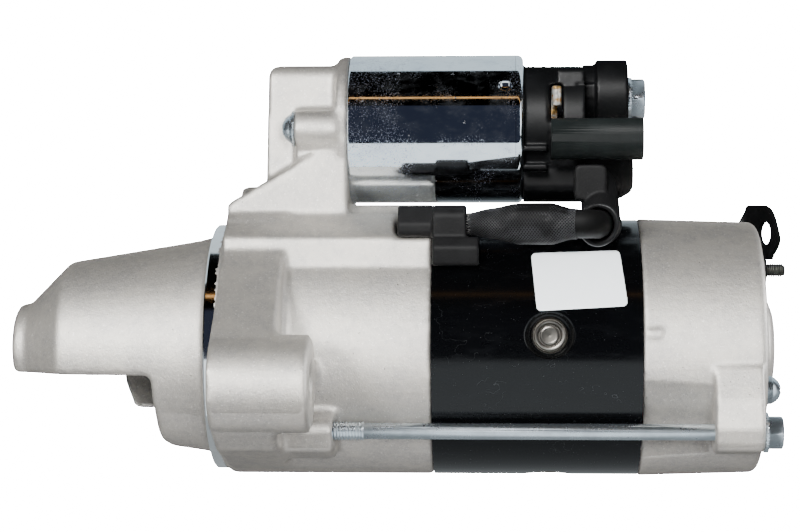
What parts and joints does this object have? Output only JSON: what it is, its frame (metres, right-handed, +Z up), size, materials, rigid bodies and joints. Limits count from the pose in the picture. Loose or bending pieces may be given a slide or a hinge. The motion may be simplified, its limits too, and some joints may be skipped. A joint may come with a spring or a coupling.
{
  "type": "starter motor",
  "caption": "Geared car starter motor with a solenoid that shifts a sprung overrunning clutch and pinion along a splined output shaft in an open nose.",
  "frame": {"origin": "centre of the pilot where the motor axis meets the mounting face", "axes": "+X along the motor axis from the mounting face to the rear, +Z up through the solenoid, +Y completes the right-handed frame"},
  "size_m": [0.2629, 0.1342, 0.1406],
  "materials": {
    "cast_aluminium": "die cast, fine sandy grain",
    "black_paint": "gloss black paint",
    "zinc_plate": "bright zinc plate",
    "machined_steel": "ground steel",
    "hardened_steel": "dark hardened steel",
    "laminated_iron": "stacked laminations",
    "copper": "bare copper",
    "bronze": "sintered bronze",
    "insulated_winding": "varnished winding",
    "carbon": "carbon brush",
    "black_plastic": "matte moulded phenolic",
    "connector_plastic": "matte moulded nylon",
    "black_rubber": "charcoal rubber",
    "braided_sleeve": "black woven sleeve over copper braid",
    "solder": "soldered tinned copper",
    "white_label": "blank paper label"
  },
  "bodies": {
    "frame": {"drive_end_housing": "cast_aluminium", "commutator_end_cover": "cast_aluminium", "yoke": "black_paint", "harness_bracket": "black_paint", "solenoid_case": "zinc_plate", "through_bolt": "zinc_plate", "through_stud": "zinc_plate", "solenoid_screws": "zinc_plate", "brush_plate_screws": "zinc_plate", "pole_screws": "zinc_plate", "terminal_nuts": "zinc_plate", "switch_blade": "zinc_plate", "partition_plate": "machined_steel", "bearing_outer_races": "machined_steel", "lever_pin": "machined_steel", "plunger_spring": "machined_steel", "contact_spring": "machined_steel", "brush_springs": "machined_steel", "solenoid_core": "machined_steel", "ring_gear": "hardened_steel", "pole_shoes": "laminated_iron", "field_coils": "insulated_winding", "solenoid_coil": "insulated_winding", "battery_terminal": "zinc_plate", "motor_terminal": "zinc_plate", "nose_bush": "bronze", "brush_plate": "black_plastic", "coil_bobbin": "black_plastic", "terminal_cap": "black_plastic", "battery_shroud": "black_plastic", "switch_connector": "connector_plastic", "terminal_boot": "black_rubber", "lead_grommet": "black_rubber", "motor_lead": "braided_sleeve", "solder_tab": "solder", "label": "white_label"},
    "armature": {"armature_shaft": "machined_steel", "armature_core": "laminated_iron", "armature_winding": "insulated_winding", "commutator": "copper", "bearing_inner_races": "machined_steel", "bearing_balls": "machined_steel"},
    "output": {"output_shaft": "machined_steel", "planet_pins": "machined_steel", "stop_ring": "hardened_steel"},
    "planet_1": {"planet_gear_1": "hardened_steel"},
    "planet_2": {"planet_gear_2": "hardened_steel"},
    "planet_3": {"planet_gear_3": "hardened_steel"},
    "clutch": {"clutch_housing": "hardened_steel", "clutch_cover": "machined_steel", "clutch_rollers": "machined_steel"},
    "pinion": {"pinion": "hardened_steel"},
    "lever": {"shift_lever": "hardened_steel"},
    "plunger": {"plunger": "machined_steel"},
    "contact": {"contact_rod": "machined_steel", "contact_disc": "copper"},
    "brush_1": {"brush_1": "carbon"},
    "brush_2": {"brush_2": "carbon"},
    "brush_3": {"brush_3": "carbon"},
    "brush_4": {"brush_4": "carbon"}
  },
  "joints": [
    {"name": "armature_spin", "type": "hinge", "parent": "frame", "child": "armature", "pos_m": [0, 0, 0], "axis": [1, 0, 0], "continuous": true},
    {"name": "output_spin", "type": "hinge", "parent": "frame", "child": "output", "pos_m": [0, 0, 0], "axis": [1, 0, 0], "continuous": true},
    {"name": "planet_1_spin", "type": "hinge", "parent": "output", "child": "planet_1", "pos_m": [0, 0, 0.01688], "axis": [1, 0, 0], "continuous": true},
    {"name": "planet_2_spin", "type": "hinge", "parent": "output", "child": "planet_2", "pos_m": [0, -0.01461, -0.00844], "axis": [1, 0, 0], "continuous": true},
    {"name": "planet_3_spin", "type": "hinge", "parent": "output", "child": "planet_3", "pos_m": [0, 0.01461, -0.00844], "axis": [1, 0, 0], "continuous": true},
    {"name": "plunger_slide", "type": "slide", "parent": "frame", "child": "plunger", "axis": [1, 0, 0], "range_m": [0, 0.0095], "stiffness_N_per_m": 1500, "springref_m": -0.02, "deforming": ["plunger_spring"]},
    {"name": "lever_pivot", "type": "hinge", "parent": "frame", "child": "lever", "pos_m": [0.027, 0, 0.047], "axis": [0, 1, 0], "range_deg": [0, 21.06]},
    {"name": "clutch_slide", "type": "slide", "parent": "output", "child": "clutch", "axis": [-1, 0, 0], "range_m": [0, 0.01718]},
    {"name": "pinion_overrun", "type": "hinge", "parent": "clutch", "child": "pinion", "pos_m": [0, 0, 0], "axis": [1, 0, 0], "continuous": true},
    {"name": "contact_slide", "type": "slide", "parent": "frame", "child": "contact", "axis": [1, 0, 0], "range_m": [0, 0.0031], "deforming": ["contact_spring"]},
    {"name": "brush_1_slide", "type": "slide", "parent": "frame", "child": "brush_1", "axis": [0, 0.6157, 0.788], "range_m": [0, 0.003], "stiffness_N_per_m": 600, "springref_m": -0.012, "deforming": ["brush_springs"]},
    {"name": "brush_2_slide", "type": "slide", "parent": "frame", "child": "brush_2", "axis": [0, -0.788, 0.6157], "range_m": [0, 0.003], "stiffness_N_per_m": 600, "springref_m": -0.012},
    {"name": "brush_3_slide", "type": "slide", "parent": "frame", "child": "brush_3", "axis": [0, -0.6157, -0.788], "range_m": [0, 0.003], "stiffness_N_per_m": 600, "springref_m": -0.012},
    {"name": "brush_4_slide", "type": "slide", "parent": "frame", "child": "brush_4", "axis": [0, 0.788, -0.6157], "range_m": [0, 0.003], "stiffness_N_per_m": 600, "springref_m": -0.012}
  ],
  "couplings": [
    {"joint": "output_spin", "follows": "armature_spin", "ratio": 0.22222},
    {"joint": "planet_1_spin", "follows": "armature_spin", "ratio": -0.62222},
    {"joint": "planet_2_spin", "follows": "armature_spin", "ratio": -0.62222},
    {"joint": "planet_3_spin", "follows": "armature_spin", "ratio": -0.62222},
    {"joint": "lever_pivot", "follows": "plunger_slide", "rad_per_m": 38.679},
    {"joint": "clutch_slide", "follows": "plunger_slide", "ratio": 1.8077},
    {"joint": "contact_slide", "follows": "plunger_slide", "ratio": 0.32632}
  ]
}
